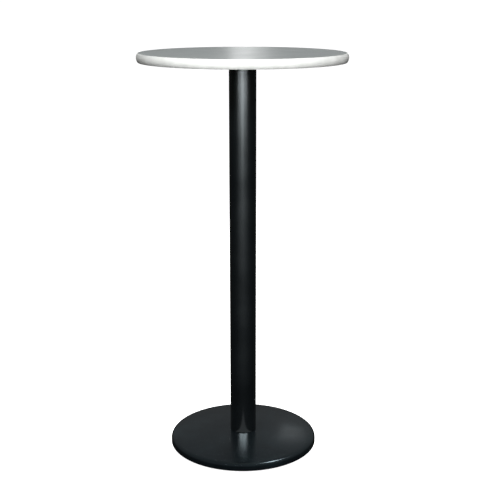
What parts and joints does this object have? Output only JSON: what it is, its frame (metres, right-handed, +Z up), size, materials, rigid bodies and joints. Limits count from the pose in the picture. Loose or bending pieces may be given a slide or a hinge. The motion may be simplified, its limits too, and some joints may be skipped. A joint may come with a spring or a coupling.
{
  "type": "pub table",
  "caption": "Bar-height round pedestal table: grey laminated top with a pale convex edge strip, black tube column and low domed base that stands on levelling glides.",
  "frame": {"origin": "on the floor, on the column's axis, with the glides screwed home", "axes": "+Z up along the column, +Y to the back, where the ends of the edge strip meet, +X to the right as seen from the front"},
  "size_m": [0.58, 0.58, 1.15],
  "materials": {
    "grey_laminate": "satin laminate with a very fine fleck",
    "particleboard": "raw pressed chips",
    "backing_laminate": "matt balancing sheet",
    "pale_vinyl": "satin extruded vinyl",
    "black_tube": "semi-gloss black powder coat",
    "black_iron": "fine-textured black powder coat",
    "zinc_steel": "bright zinc plate",
    "black_nylon": "moulded, matt"
  },
  "bodies": {
    "table": {"tabletop_laminate": "grey_laminate", "tabletop_core": "particleboard", "tabletop_backer": "backing_laminate", "edge_moulding": "pale_vinyl", "top_spider": "black_iron", "spider_screws": "zinc_steel", "column_tube": "black_tube", "tie_rod": "zinc_steel", "tie_rod_top_washer": "zinc_steel", "tie_rod_top_nut": "zinc_steel", "base_casting": "black_iron", "tie_rod_base_washer": "zinc_steel", "tie_rod_lock_washer": "zinc_steel", "tie_rod_base_nut": "zinc_steel"},
    "glide_foot_1": {"glide_pad_1": "black_nylon"},
    "glide_screw_1": {"glide_stud_1": "zinc_steel"},
    "glide_foot_2": {"glide_pad_2": "black_nylon"},
    "glide_screw_2": {"glide_stud_2": "zinc_steel"},
    "glide_foot_3": {"glide_pad_3": "black_nylon"},
    "glide_screw_3": {"glide_stud_3": "zinc_steel"},
    "glide_foot_4": {"glide_pad_4": "black_nylon"},
    "glide_screw_4": {"glide_stud_4": "zinc_steel"}
  },
  "joints": [
    {"name": "glide_1_lift", "type": "slide", "parent": "table", "child": "glide_foot_1", "axis": [0, 0, -1], "range_m": [0, 0.0075]},
    {"name": "glide_1_turn", "type": "hinge", "parent": "glide_foot_1", "child": "glide_screw_1", "pos_m": [0.12374, 0.12374, 0], "axis": [0, 0, -1], "range_deg": [0, 2160]},
    {"name": "glide_2_lift", "type": "slide", "parent": "table", "child": "glide_foot_2", "axis": [0, 0, -1], "range_m": [0, 0.0075]},
    {"name": "glide_2_turn", "type": "hinge", "parent": "glide_foot_2", "child": "glide_screw_2", "pos_m": [-0.12374, 0.12374, 0], "axis": [0, 0, -1], "range_deg": [0, 2160]},
    {"name": "glide_3_lift", "type": "slide", "parent": "table", "child": "glide_foot_3", "axis": [0, 0, -1], "range_m": [0, 0.0075]},
    {"name": "glide_3_turn", "type": "hinge", "parent": "glide_foot_3", "child": "glide_screw_3", "pos_m": [-0.12374, -0.12374, 0], "axis": [0, 0, -1], "range_deg": [0, 2160]},
    {"name": "glide_4_lift", "type": "slide", "parent": "table", "child": "glide_foot_4", "axis": [0, 0, -1], "range_m": [0, 0.0075]},
    {"name": "glide_4_turn", "type": "hinge", "parent": "glide_foot_4", "child": "glide_screw_4", "pos_m": [0.12374, -0.12374, 0], "axis": [0, 0, -1], "range_deg": [0, 2160]}
  ],
  "couplings": [
    {"joint": "glide_1_lift", "follows": "glide_1_turn", "m_per_rad": 0.00019894},
    {"joint": "glide_2_lift", "follows": "glide_2_turn", "m_per_rad": 0.00019894},
    {"joint": "glide_3_lift", "follows": "glide_3_turn", "m_per_rad": 0.00019894},
    {"joint": "glide_4_lift", "follows": "glide_4_turn", "m_per_rad": 0.00019894}
  ]
}
